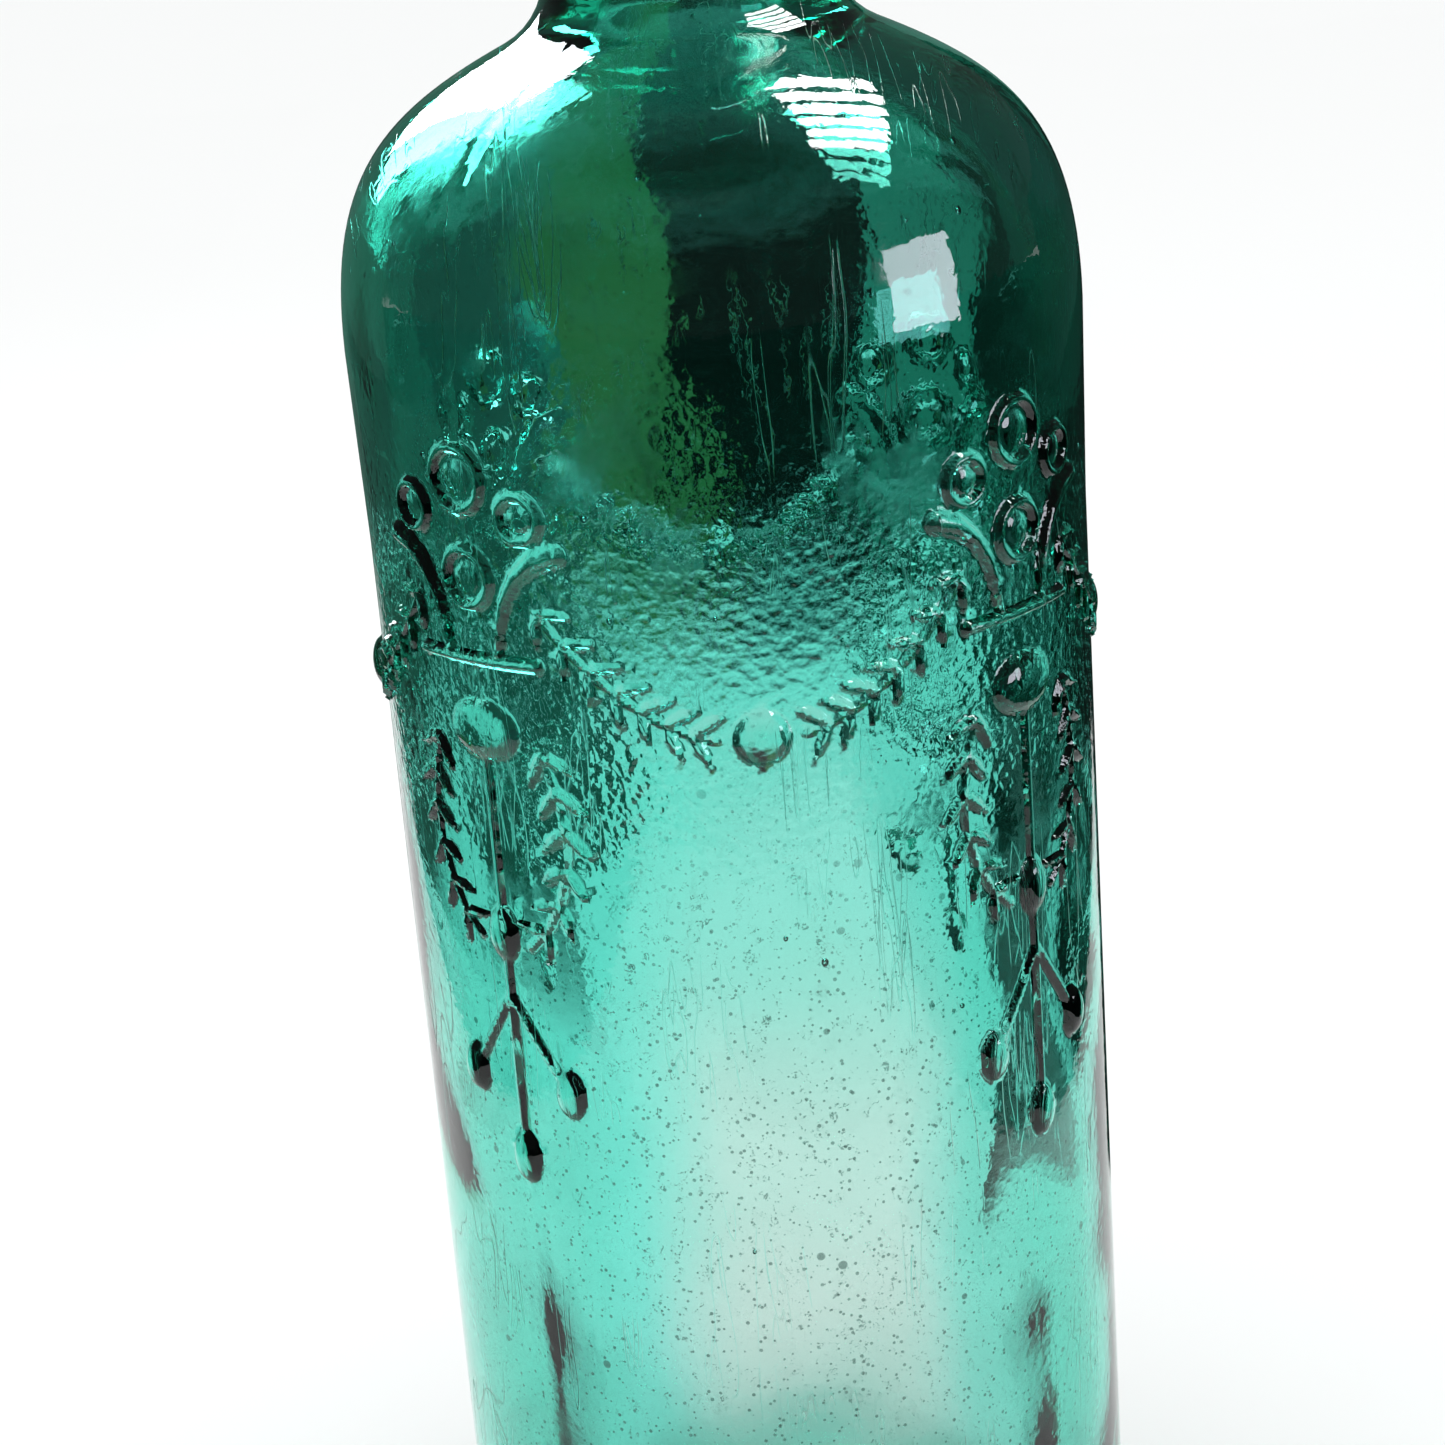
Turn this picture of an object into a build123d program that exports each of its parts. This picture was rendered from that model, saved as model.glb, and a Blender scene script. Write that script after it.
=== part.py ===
from build123d import *
import os
from math import atan2, cos, degrees, radians, sin, sqrt

# A round mould-blown glass bottle with an embossed belt, an applied collar on its neck,
# and a glass peg stopper that is held in the mouth by a sleeve of cork.
# The origin is on the standing plane, on the bottle's axis. +Z is up. -Y faces the viewer
# and carries the middle of one festoon. Sizes are in millimetres.

# Body
body_radius = 37.9
shoulder_flare = 0.4
wall = 3.2
shoulder_foot_z = 163.0
flare_height = 20.0
heel_radius = 6.0
standing_ring_width = 5.0
push_up_height = 5.0
base_thickness = 6.0
inner_heel_radius = 9.0

# Shoulder and neck. The shoulder is one cubic curve that starts upright and ends on a cone.
crown_rise = 29.2
crown_slope = 24.6
crown_fullness_low = 18.0
crown_fullness_high = 14.0
bore_radius = 9.6
neck_wall = 4.8
neck_length = 43.8
neck_root_radius = 8.0
bore_root_radius = 5.0

# Applied collar: a tapered band over a narrow rolled ring
collar_height = 19.0
collar_cap_thickness = 2.5
collar_thickness = 3.0
collar_taper = 1.2
collar_rounding = 1.6
ring_height = 5.0
ring_bulge = 1.5

# Shell cork and glass stopper
cork_length = 24.0
cork_proud = 2.5
cork_taper = 0.9
cork_chamfer = 0.8
cork_gap = 0.05
peg_radius = 5.0
peg_gap = 0.05
peg_beyond_cork = 3.0
peg_tip_rounding = 1.5
head_radius = 15.5
head_thickness = 8.0
head_rounding = 3.0
head_gap = 0.4
throat_height = 4.0
throat_step = 2.5

# Belt of relief. Heights are measured from the level of the festoon beads.
# The turned surfaces close at surface_seam_azimuth, clear of every bead.
# The pattern is drawn for a body of pattern_radius and is stretched round any other body.
surface_seam_azimuth = 13.0
quarters = 4
pattern_radius = 37.9
belt_below_shoulder = 33.0
front_azimuth = -90.0
relief_bite = 1.0

festoon_reach = 21.6
festoon_sag = 13.1
festoon_pairs = 7
festoon_first_leaf = 4.2
festoon_low_point = -1.5
bead_radius = 2.75
bead_raise = 1.35
bead_height = -1.0

leaf_length = 3.9
leaf_width = 0.95
leaf_raise = 0.65
leaf_spread = 46.0
leaf_root_gap = 0.2
stem_width = 0.5
stem_raise = 0.45

basket_bar_width = 15.4
basket_bar_height = 1.3
basket_bar_raise = 0.9
basket_bar_level = 6.2
horn_foot = (3.4, 7.0)
horn_waist = (4.3, 12.6)
horn_tip = (11.0, 17.4)
horn_foot_width = 0.8
horn_tip_width = 2.0
horn_tip_lean_share = 0.3
horn_raise = 0.9
rings = {
    "top": (0.0, 24.3, 3.7),
    "left": (-7.2, 20.7, 2.8),
    "right": (7.2, 20.9, 2.7),
    "low": (0.0, 14.4, 3.4),
}
ring_cord = 1.1
ring_raise = 0.7
ring_chamfer = 0.25
ring_dish_share = 0.5
ring_dish_raise = 0.35

button_size = (4.6, 3.1, 1.3)
button_height = -1.2
string_width = 0.9
string_raise = 0.55
string_split = -29.6
drop_size = (1.8, 2.9, 1.25)
middle_bead_size = (1.9, 3.0, 1.3)
middle_bead_height = -22.9
side_drop = (6.8, -39.5)
centre_drop = (0.0, -47.9)

wreath_half_width = 9.2
wreath_half_height = 13.3
wreath_centre = -11.5
wreath_start = 40.0
wreath_end = -68.0
wreath_pairs = 6

# Sizes that follow from the ones above
shoulder_radius = body_radius + shoulder_flare
neck_radius = bore_radius + neck_wall
crown_lean = 90.0 - crown_slope
neck_top_z = shoulder_foot_z + crown_rise + neck_length
belt_z = shoulder_foot_z - belt_below_shoulder
spread = body_radius / pattern_radius
collar_radius = neck_radius + collar_thickness
collar_top_z = neck_top_z + collar_cap_thickness
collar_foot_z = collar_top_z - collar_height
bore_mouth_z = collar_top_z - collar_rounding
cork_top_z = collar_top_z + cork_proud
cork_foot_z = cork_top_z - cork_length
throat_radius = peg_radius + throat_step


def shoulder_curve(foot_radius, top_radius, root_radius, rise):
    """Outline of a shoulder from its upright foot to the neck, with the root's fillet."""
    slope = radians(crown_slope)
    lean = radians(crown_lean)
    crown_radius = top_radius + root_radius * (1.0 - cos(lean))
    foot = (foot_radius, shoulder_foot_z)
    crown = (crown_radius, shoulder_foot_z + rise)
    low_handle = (foot_radius, shoulder_foot_z + crown_fullness_low)
    high_handle = (crown[0] + crown_fullness_high * cos(slope), crown[1] - crown_fullness_high * sin(slope))
    centre = (top_radius + root_radius, crown[1] + root_radius * sin(lean))
    halfway = lean / 2.0
    middle = (centre[0] - root_radius * cos(halfway), centre[1] - root_radius * sin(halfway))
    top = (top_radius, centre[1])
    dome = Bezier(foot, low_handle, high_handle, crown)
    root = ThreePointArc(crown, middle, top)
    return dome, root, top


def wall_radius(height):
    """Outer radius of the wall at a height above the belt's level."""
    flare_start = shoulder_foot_z - flare_height
    share = (belt_z + height - flare_start) / flare_height
    share = min(max(share, 0.0), 1.0)
    return body_radius + share * (shoulder_radius - body_radius)


def on_wall(axis_azimuth, across, height):
    """Place on the outer wall: local x runs round the wall, y up, z outwards."""
    azimuth = radians(axis_azimuth) + across * spread / body_radius
    out = (cos(azimuth), sin(azimuth), 0.0)
    foot = wall_radius(height) - relief_bite
    origin = (foot * out[0], foot * out[1], belt_z + height)
    return Plane(origin=origin, x_dir=(-out[1], out[0], 0.0), z_dir=out).location


def revolve_outline(outline):
    """Full turn of a closed outline drawn with x as the radius and y as the height."""
    return revolve(Plane.XZ * make_face(outline), axis=Axis.Z)


def cap_sphere(edge_radius, rise):
    """Radius of the sphere that a cap with this edge radius and rise is cut from."""
    return (edge_radius ** 2 + rise ** 2) / (2.0 * rise)


def cap_height(radius, rise, edge_radius):
    """Height above its rim, at a radius, of a spherical cap centred on the axis."""
    sphere = cap_sphere(edge_radius, rise)
    return rise - sphere + sqrt(sphere ** 2 - radius ** 2)


def blown_shell():
    """The plain bottle: one outline for the outside and the inside, turned once."""
    ring_outer = body_radius - heel_radius
    ring_inner = ring_outer - standing_ring_width
    heel_middle = (ring_outer + heel_radius * sin(radians(45.0)), heel_radius * (1.0 - cos(radians(45.0))))
    dome, root, neck_foot = shoulder_curve(shoulder_radius, neck_radius, neck_root_radius, crown_rise)
    inner_rise = crown_rise - wall / cos(radians(crown_slope)) + wall * sin(radians(crown_slope))
    inside = shoulder_curve(shoulder_radius - wall, bore_radius, bore_root_radius, inner_rise)
    inner_dome, inner_root, bore_foot = inside
    inner_radius = body_radius - wall
    floor_z = push_up_height + base_thickness
    inner_heel_z = base_thickness + inner_heel_radius
    floor_radius = inner_radius - inner_heel_radius
    inner_heel_middle = (
        floor_radius + inner_heel_radius * sin(radians(45.0)),
        inner_heel_z - inner_heel_radius * cos(radians(45.0)),
    )
    flare_start = shoulder_foot_z - flare_height
    push_up_middle = (ring_inner / 2.0, cap_height(ring_inner / 2.0, push_up_height, ring_inner))
    half_way = floor_radius / 2.0
    floor_middle = (half_way, base_thickness + cap_height(half_way, push_up_height, floor_radius))
    outline = [
        ThreePointArc((0.0, push_up_height), push_up_middle, (ring_inner, 0.0)),
        Line((ring_inner, 0.0), (ring_outer, 0.0)),
        ThreePointArc((ring_outer, 0.0), heel_middle, (body_radius, heel_radius)),
        Line((body_radius, heel_radius), (body_radius, flare_start)),
        Line((body_radius, flare_start), (shoulder_radius, shoulder_foot_z)),
        dome,
        root,
        Line(neck_foot, (neck_radius, neck_top_z)),
        Line((neck_radius, neck_top_z), (bore_radius, neck_top_z)),
        Line((bore_radius, neck_top_z), bore_foot),
        inner_root,
        inner_dome,
        Line((shoulder_radius - wall, shoulder_foot_z), (inner_radius, flare_start)),
        Line((inner_radius, flare_start), (inner_radius, inner_heel_z)),
        ThreePointArc((inner_radius, inner_heel_z), inner_heel_middle, (floor_radius, base_thickness)),
        ThreePointArc((floor_radius, base_thickness), floor_middle, (0.0, floor_z)),
        Line((0.0, floor_z), (0.0, push_up_height)),
    ]
    return revolve_outline(outline)


def leaf():
    """One laurel leaf, a lens between two arcs, pointing along +X."""
    upper = ThreePointArc((0.0, 0.0), (leaf_length / 2.0, leaf_width / 2.0), (leaf_length, 0.0))
    lower = ThreePointArc((leaf_length, 0.0), (leaf_length / 2.0, -leaf_width / 2.0), (0.0, 0.0))
    return extrude(make_face([upper, lower]), amount=relief_bite + leaf_raise)


def rod(axis_azimuth, start, end, width, height):
    """A straight flat-topped rod between two points of the belt."""
    across = (start[0] + end[0]) / 2.0
    level = (start[1] + end[1]) / 2.0
    run = (end[0] - start[0]) * spread
    climb = end[1] - start[1]
    length = sqrt(run * run + climb * climb)
    bar = Box(length, width, relief_bite + height, align=(Align.CENTER, Align.CENTER, Align.MIN))
    return on_wall(axis_azimuth, across, level) * Rot(0, 0, degrees(atan2(climb, run))) * bar


def dome_bead(axis_azimuth, place, size):
    """An oval bead that stands proud of the wall by the last of its three sizes."""
    half_width, half_height, proud = size
    bead = scale(Sphere(1.0), by=(half_width, half_height, proud))
    return on_wall(axis_azimuth, place[0], place[1]) * Pos(0, 0, relief_bite) * bead


def leafy_stem(axis_azimuth, stations):
    """Rods between stations, with a pair of leaves at each one that point along the stem."""
    pieces = []
    for start, end in zip(stations, stations[1:]):
        heading = degrees(atan2(end[1] - start[1], end[0] - start[0]))
        pieces.append(rod(axis_azimuth, start, end, stem_width, stem_raise))
        for side in (1.0, -1.0):
            turn = Rot(0, 0, heading + side * leaf_spread)
            root = Pos(leaf_root_gap, 0, 0)
            pieces.append(on_wall(axis_azimuth, start[0], start[1]) * turn * root * leaf())
    return pieces


def festoon(axis_azimuth):
    """A swag of laurel that hangs in a parabola, with a round bead at its lowest point."""
    bead_sphere = cap_sphere(bead_radius, bead_raise)
    sink = relief_bite + bead_raise - bead_sphere
    pieces = [on_wall(axis_azimuth, 0.0, bead_height) * Pos(0, 0, sink) * Sphere(bead_sphere)]
    step = (festoon_reach - festoon_first_leaf) / festoon_pairs
    for side in (1.0, -1.0):
        stations = []
        for index in range(festoon_pairs + 1):
            across = festoon_reach - index * step
            level = festoon_low_point + festoon_sag * (across / festoon_reach) ** 2
            stations.append((side * across, level))
        pieces += leafy_stem(axis_azimuth, stations)
    return pieces


def wreath(axis_azimuth):
    """Two laurel branches that curve down on both sides of the tassel's string."""
    pieces = []
    step = radians(wreath_end - wreath_start) / wreath_pairs
    for side in (1.0, -1.0):
        stations = []
        for index in range(wreath_pairs + 1):
            angle = radians(wreath_start) + index * step
            across = side * wreath_half_width * cos(angle)
            stations.append((across, wreath_centre + wreath_half_height * sin(angle)))
        pieces += leafy_stem(axis_azimuth, stations)
    return pieces


def tassel(axis_azimuth):
    """Button, string, middle bead and three strings that end in drops."""
    button_place = (0.0, button_height)
    pieces = [dome_bead(axis_azimuth, button_place, button_size)]
    pieces.append(rod(axis_azimuth, button_place, (0.0, string_split), string_width, string_raise))
    pieces.append(dome_bead(axis_azimuth, (0.0, middle_bead_height), middle_bead_size))
    for drop in (centre_drop, side_drop, (-side_drop[0], side_drop[1])):
        pieces.append(rod(axis_azimuth, (0.0, string_split), drop, string_width, string_raise))
        pieces.append(dome_bead(axis_azimuth, drop, drop_size))
    return pieces


def horn(axis_azimuth, side):
    """One arm of the basket: a tapering blade that curves outwards to a wide tip."""
    foot_half = horn_foot_width / 2.0
    tip_half = horn_tip_width / 2.0
    tip_lean = tip_half * horn_tip_lean_share
    inner = [
        (horn_foot[0] - foot_half, horn_foot[1]),
        (horn_waist[0] - foot_half, horn_waist[1]),
        (horn_tip[0] - tip_lean, horn_tip[1] + tip_half),
    ]
    outer = [
        (horn_tip[0] + tip_lean, horn_tip[1] - tip_half),
        (horn_waist[0] + foot_half, horn_waist[1]),
        (horn_foot[0] + foot_half, horn_foot[1]),
    ]
    inner = [(side * (across - horn_waist[0]), level - horn_waist[1]) for across, level in inner]
    outer = [(side * (across - horn_waist[0]), level - horn_waist[1]) for across, level in outer]
    edges = [
        Spline(*inner),
        Line(inner[-1], outer[0]),
        Spline(*outer),
        Line(outer[-1], inner[0]),
    ]
    blade = extrude(make_face(edges), amount=relief_bite + horn_raise)
    return on_wall(axis_azimuth, side * horn_waist[0], horn_waist[1]) * blade


def flower_ring(axis_azimuth, across, level, outer_radius):
    """A raised ring that stands for a flower, with a low dome in its middle."""
    cord = extrude(Circle(outer_radius) - Circle(outer_radius - ring_cord), amount=relief_bite + ring_raise)
    cord = chamfer(cord.faces().sort_by(Axis.Z)[-1].edges(), ring_chamfer)
    dish_radius = outer_radius * ring_dish_share
    dish_sphere = cap_sphere(dish_radius, ring_dish_raise)
    dish = Pos(0, 0, relief_bite + ring_dish_raise - dish_sphere) * Sphere(dish_sphere)
    dish = dish & Cylinder(dish_radius, 4.0 * relief_bite)
    seat = on_wall(axis_azimuth, across, level)
    return [seat * cord, seat * dish]


def basket(axis_azimuth):
    """Base bar, two arms and four flowers."""
    half_turn = degrees(basket_bar_width * spread / body_radius) / 2.0
    low = belt_z + basket_bar_level - basket_bar_height / 2.0
    depth = relief_bite + basket_bar_raise
    section = Pos(body_radius - relief_bite + depth / 2.0, low + basket_bar_height / 2.0)
    bar_face = Plane.XZ * section * Rectangle(depth, basket_bar_height)
    bar = revolve(bar_face, Axis.Z, revolution_arc=2.0 * half_turn)
    pieces = [Rot(0, 0, axis_azimuth - half_turn) * bar]
    for side in (1.0, -1.0):
        pieces.append(horn(axis_azimuth, side))
    for across, level, outer_radius in rings.values():
        pieces += flower_ring(axis_azimuth, across, level, outer_radius)
    return pieces


def bottle_body():
    """The blown bottle with its belt of relief, one piece of glass."""
    glass = Rot(0, 0, surface_seam_azimuth) * blown_shell()
    for quarter in range(quarters):
        festoon_azimuth = front_azimuth + quarter * 360.0 / quarters
        basket_azimuth = festoon_azimuth + 180.0 / quarters
        glass = glass.fuse(*festoon(festoon_azimuth))
        glass = glass.fuse(*basket(basket_azimuth))
        glass = glass.fuse(*tassel(basket_azimuth))
        glass = glass.fuse(*wreath(basket_azimuth))
    return glass


def applied_collar():
    """The band of glass wound on the neck's end: ring, tapered band and rounded mouth."""
    ring_foot_z = collar_foot_z - ring_height
    band_foot_radius = collar_radius
    band_top_radius = collar_radius - collar_taper
    rounding = collar_rounding
    ring_outer = collar_radius - collar_taper
    turn = radians(45.0)
    outline = [
        Line((neck_radius, ring_foot_z), (neck_radius, neck_top_z)),
        Line((neck_radius, neck_top_z), (bore_radius, neck_top_z)),
        Line((bore_radius, neck_top_z), (bore_radius, collar_top_z - rounding)),
        ThreePointArc(
            (bore_radius, collar_top_z - rounding),
            (bore_radius + rounding * (1.0 - cos(turn)), collar_top_z - rounding * (1.0 - sin(turn))),
            (bore_radius + rounding, collar_top_z),
        ),
        Line((bore_radius + rounding, collar_top_z), (band_top_radius - rounding, collar_top_z)),
        ThreePointArc(
            (band_top_radius - rounding, collar_top_z),
            (band_top_radius - rounding * (1.0 - sin(turn)), collar_top_z - rounding * (1.0 - cos(turn))),
            (band_top_radius, collar_top_z - rounding),
        ),
        Line((band_top_radius, collar_top_z - rounding), (band_foot_radius, collar_foot_z + rounding)),
        ThreePointArc(
            (band_foot_radius, collar_foot_z + rounding),
            (band_foot_radius - rounding * (1.0 - cos(turn)), collar_foot_z + rounding * (1.0 - sin(turn))),
            (band_foot_radius - rounding, collar_foot_z),
        ),
        Line((band_foot_radius - rounding, collar_foot_z), (ring_outer - ring_bulge / 2.0, collar_foot_z)),
        ThreePointArc(
            (ring_outer - ring_bulge / 2.0, collar_foot_z),
            (ring_outer, collar_foot_z - ring_height / 2.0),
            (neck_radius, ring_foot_z),
        ),
    ]
    return revolve_outline(outline)


def shell_cork():
    """A tapered cork sleeve that fits the top of the straight bore, with a hole for the peg."""
    hole_radius = peg_radius + peg_gap
    slope = cork_taper / cork_length
    top_radius = bore_radius - cork_gap + slope * (cork_top_z - bore_mouth_z)
    foot_radius = top_radius - cork_taper
    middle = Pos(0, 0, (cork_top_z + cork_foot_z) / 2.0)
    sleeve = middle * Cone(foot_radius, top_radius, cork_length)
    sleeve = chamfer(sleeve.edges().filter_by(GeomType.CIRCLE), cork_chamfer)
    hole = middle * Cylinder(hole_radius, 2.0 * cork_length)
    return sleeve - hole


def glass_stopper():
    """A round flat head on a short throat, and a straight peg that ends in a rounded tip."""
    throat_foot_z = cork_top_z + head_gap
    head_foot_z = throat_foot_z + throat_height
    head_top_z = head_foot_z + head_thickness
    tip_z = cork_foot_z - peg_beyond_cork
    turn = radians(45.0)
    outline = [
        Line((0.0, tip_z), (peg_radius - peg_tip_rounding, tip_z)),
        ThreePointArc(
            (peg_radius - peg_tip_rounding, tip_z),
            (peg_radius - peg_tip_rounding * (1.0 - sin(turn)), tip_z + peg_tip_rounding * (1.0 - cos(turn))),
            (peg_radius, tip_z + peg_tip_rounding),
        ),
        Line((peg_radius, tip_z + peg_tip_rounding), (peg_radius, throat_foot_z)),
        Line((peg_radius, throat_foot_z), (throat_radius, throat_foot_z)),
        Line((throat_radius, throat_foot_z), (throat_radius, head_foot_z)),
        Line((throat_radius, head_foot_z), (head_radius - head_rounding, head_foot_z)),
        ThreePointArc(
            (head_radius - head_rounding, head_foot_z),
            (head_radius, (head_foot_z + head_top_z) / 2.0),
            (head_radius - head_rounding, head_top_z),
        ),
        Line((head_radius - head_rounding, head_top_z), (0.0, head_top_z)),
        Line((0.0, head_top_z), (0.0, tip_z)),
    ]
    return revolve_outline(outline)


os.makedirs("parts", exist_ok=True)
export_step(bottle_body(), "parts/bottle_body.step")
export_step(applied_collar(), "parts/applied_collar.step")
export_step(shell_cork(), "parts/shell_cork.step")
export_step(glass_stopper(), "parts/glass_stopper.step")
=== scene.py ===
import math
import random

import bpy
import numpy as np
from mathutils import Matrix, Vector


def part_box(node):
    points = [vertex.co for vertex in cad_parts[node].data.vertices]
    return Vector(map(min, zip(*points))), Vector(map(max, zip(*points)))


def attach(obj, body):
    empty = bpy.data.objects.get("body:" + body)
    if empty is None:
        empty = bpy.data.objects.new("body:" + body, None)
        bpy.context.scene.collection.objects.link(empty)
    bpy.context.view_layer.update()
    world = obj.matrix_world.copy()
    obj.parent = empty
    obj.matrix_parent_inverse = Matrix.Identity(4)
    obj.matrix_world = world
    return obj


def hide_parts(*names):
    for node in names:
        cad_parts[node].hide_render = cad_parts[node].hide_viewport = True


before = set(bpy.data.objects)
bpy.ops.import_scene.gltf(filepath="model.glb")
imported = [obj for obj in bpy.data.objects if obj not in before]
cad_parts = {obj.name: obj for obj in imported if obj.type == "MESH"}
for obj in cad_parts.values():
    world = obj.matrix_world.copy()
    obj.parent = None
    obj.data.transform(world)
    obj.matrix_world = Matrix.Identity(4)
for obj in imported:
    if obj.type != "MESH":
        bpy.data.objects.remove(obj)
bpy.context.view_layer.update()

MM = 0.001
QUARTER = math.radians(90.0)

# ---------------------------------------------------------------------------------------
# Sizes of the blown bottle, in metres. They repeat the design's own driving dimensions.
# ---------------------------------------------------------------------------------------
BODY_RADIUS = 37.9 * MM
SHOULDER_RADIUS = 38.3 * MM
WALL = 3.2 * MM
SHOULDER_FOOT_Z = 163.0 * MM
FLARE_HEIGHT = 20.0 * MM
HEEL_RADIUS = 6.0 * MM
STANDING_RING_WIDTH = 5.0 * MM
PUSH_UP_HEIGHT = 5.0 * MM
BASE_THICKNESS = 6.0 * MM
INNER_HEEL_RADIUS = 9.0 * MM
CROWN_RISE = 29.2 * MM
CROWN_SLOPE = math.radians(24.6)
CROWN_FULLNESS_LOW = 18.0 * MM
CROWN_FULLNESS_HIGH = 14.0 * MM
NECK_RADIUS = 14.4 * MM
NECK_ROOT_RADIUS = 8.0 * MM
NECK_TOP_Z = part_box("bottle_body")[1].z
BORE_RADIUS = 9.6 * MM
BORE_ROOT_RADIUS = 5.0 * MM

# Belt of relief, measured round the wall from a motif's axis and up from the bead level
BELT_Z = 130.0 * MM
FRONT_AZIMUTH = -QUARTER
MOTIF_SPACING = BODY_RADIUS * QUARTER / 2.0
BELT_LOW = BELT_Z - 53.0 * MM
BELT_HIGH = BELT_Z + 30.0 * MM
RELIEF_TALLEST = 1.4 * MM
SEAM_RAISE = 0.08 * MM
THIN_BY = 1.5 * MM
SEEDS = 70
SEEDS_DRAW = 11
SEED_SIZES = (0.12 * MM, 0.38 * MM)
SEED_DEPTH = 0.75 * MM

AROUND = 240
AROUND_INSIDE = 144
BELT_ROW = 1.0 * MM
PLAIN_ROW = 3.0 * MM
SHOULDER_ROW = 1.3 * MM


# ---------------------------------------------------------------------------------------
# Outline of the glass, as (radius, height) points
# ---------------------------------------------------------------------------------------
def straight(start, end, row):
    """Points from start up to but without end, about a row apart."""
    count = max(1, round(math.dist(start, end) / row))
    points = []
    for index in range(count):
        share = index / count
        points.append((start[0] + share * (end[0] - start[0]), start[1] + share * (end[1] - start[1])))
    return points


def arc(centre, radius, start_angle, end_angle, row):
    """Points on an arc from its start up to but without its end."""
    count = max(3, round(abs(end_angle - start_angle) * radius / row))
    points = []
    for index in range(count):
        angle = start_angle + (end_angle - start_angle) * index / count
        points.append((centre[0] + radius * math.cos(angle), centre[1] + radius * math.sin(angle)))
    return points


def cap(edge_radius, rise, foot_z, row):
    """Points on a spherical cap centred on the axis, from the axis out to but without the rim."""
    sphere = (edge_radius ** 2 + rise ** 2) / (2.0 * rise)
    count = max(4, round(edge_radius / row))
    points = []
    for index in range(count):
        radius = edge_radius * index / count
        points.append((radius, foot_z + rise - sphere + math.sqrt(sphere ** 2 - radius ** 2)))
    return points


def shoulder(foot_radius, top_radius, root_radius, rise, row):
    """Points up a shoulder and its neck root, and the point where the neck starts."""
    lean = QUARTER - CROWN_SLOPE
    crown = (top_radius + root_radius * (1.0 - math.cos(lean)), SHOULDER_FOOT_Z + rise)
    handles = [
        (foot_radius, SHOULDER_FOOT_Z),
        (foot_radius, SHOULDER_FOOT_Z + CROWN_FULLNESS_LOW),
        (crown[0] + CROWN_FULLNESS_HIGH * math.cos(CROWN_SLOPE),
         crown[1] - CROWN_FULLNESS_HIGH * math.sin(CROWN_SLOPE)),
        crown,
    ]
    count = round(math.dist(handles[0], crown) * 1.12 / row)
    points = []
    for index in range(count):
        t = index / count
        shares = ((1 - t) ** 3, 3 * t * (1 - t) ** 2, 3 * t * t * (1 - t), t ** 3)
        points.append(tuple(sum(s * h[axis] for s, h in zip(shares, handles)) for axis in (0, 1)))
    centre = (top_radius + root_radius, crown[1] + root_radius * math.sin(lean))
    points += arc(centre, root_radius, math.pi + lean, math.pi, row)
    return points, (top_radius, centre[1])


def outer_outline():
    """From the middle of the push-up, over the standing ring and up to the neck's top."""
    ring_outer = BODY_RADIUS - HEEL_RADIUS
    ring_inner = ring_outer - STANDING_RING_WIDTH
    flare_start = SHOULDER_FOOT_Z - FLARE_HEIGHT
    points = cap(ring_inner, PUSH_UP_HEIGHT, 0.0, PLAIN_ROW)
    points += straight((ring_inner, 0.0), (ring_outer, 0.0), STANDING_RING_WIDTH / 2.0)
    points += arc((ring_outer, HEEL_RADIUS), HEEL_RADIUS, -QUARTER, 0.0, 1.0 * MM)
    points += straight((BODY_RADIUS, HEEL_RADIUS), (BODY_RADIUS, BELT_LOW), PLAIN_ROW)
    points += straight((BODY_RADIUS, BELT_LOW), (BODY_RADIUS, flare_start), BELT_ROW)
    points += straight((BODY_RADIUS, flare_start), (SHOULDER_RADIUS, SHOULDER_FOOT_Z), BELT_ROW)
    dome, neck_foot = shoulder(SHOULDER_RADIUS, NECK_RADIUS, NECK_ROOT_RADIUS, CROWN_RISE, SHOULDER_ROW)
    points += dome
    points += straight(neck_foot, (NECK_RADIUS, NECK_TOP_Z), PLAIN_ROW)
    points.append((NECK_RADIUS, NECK_TOP_Z))
    return points


def inner_outline():
    """From the middle of the bottle's floor up to the mouth, inside the wall."""
    inner_radius = BODY_RADIUS - WALL
    floor_radius = inner_radius - INNER_HEEL_RADIUS
    heel_z = BASE_THICKNESS + INNER_HEEL_RADIUS
    flare_start = SHOULDER_FOOT_Z - FLARE_HEIGHT
    rise = CROWN_RISE - WALL / math.cos(CROWN_SLOPE) + WALL * math.sin(CROWN_SLOPE)
    points = cap(floor_radius, PUSH_UP_HEIGHT, BASE_THICKNESS, PLAIN_ROW)
    points += arc((floor_radius, heel_z), INNER_HEEL_RADIUS, -QUARTER, 0.0, 1.5 * MM)
    points += straight((inner_radius, heel_z), (inner_radius, flare_start), PLAIN_ROW)
    points += straight((inner_radius, flare_start), (SHOULDER_RADIUS - WALL, SHOULDER_FOOT_Z), PLAIN_ROW)
    dome, bore_foot = shoulder(SHOULDER_RADIUS - WALL, BORE_RADIUS, BORE_ROOT_RADIUS, rise, 2.0 * MM)
    points += dome
    points += straight(bore_foot, (BORE_RADIUS, NECK_TOP_Z), PLAIN_ROW)
    points.append((BORE_RADIUS, NECK_TOP_Z))
    return points


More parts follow.
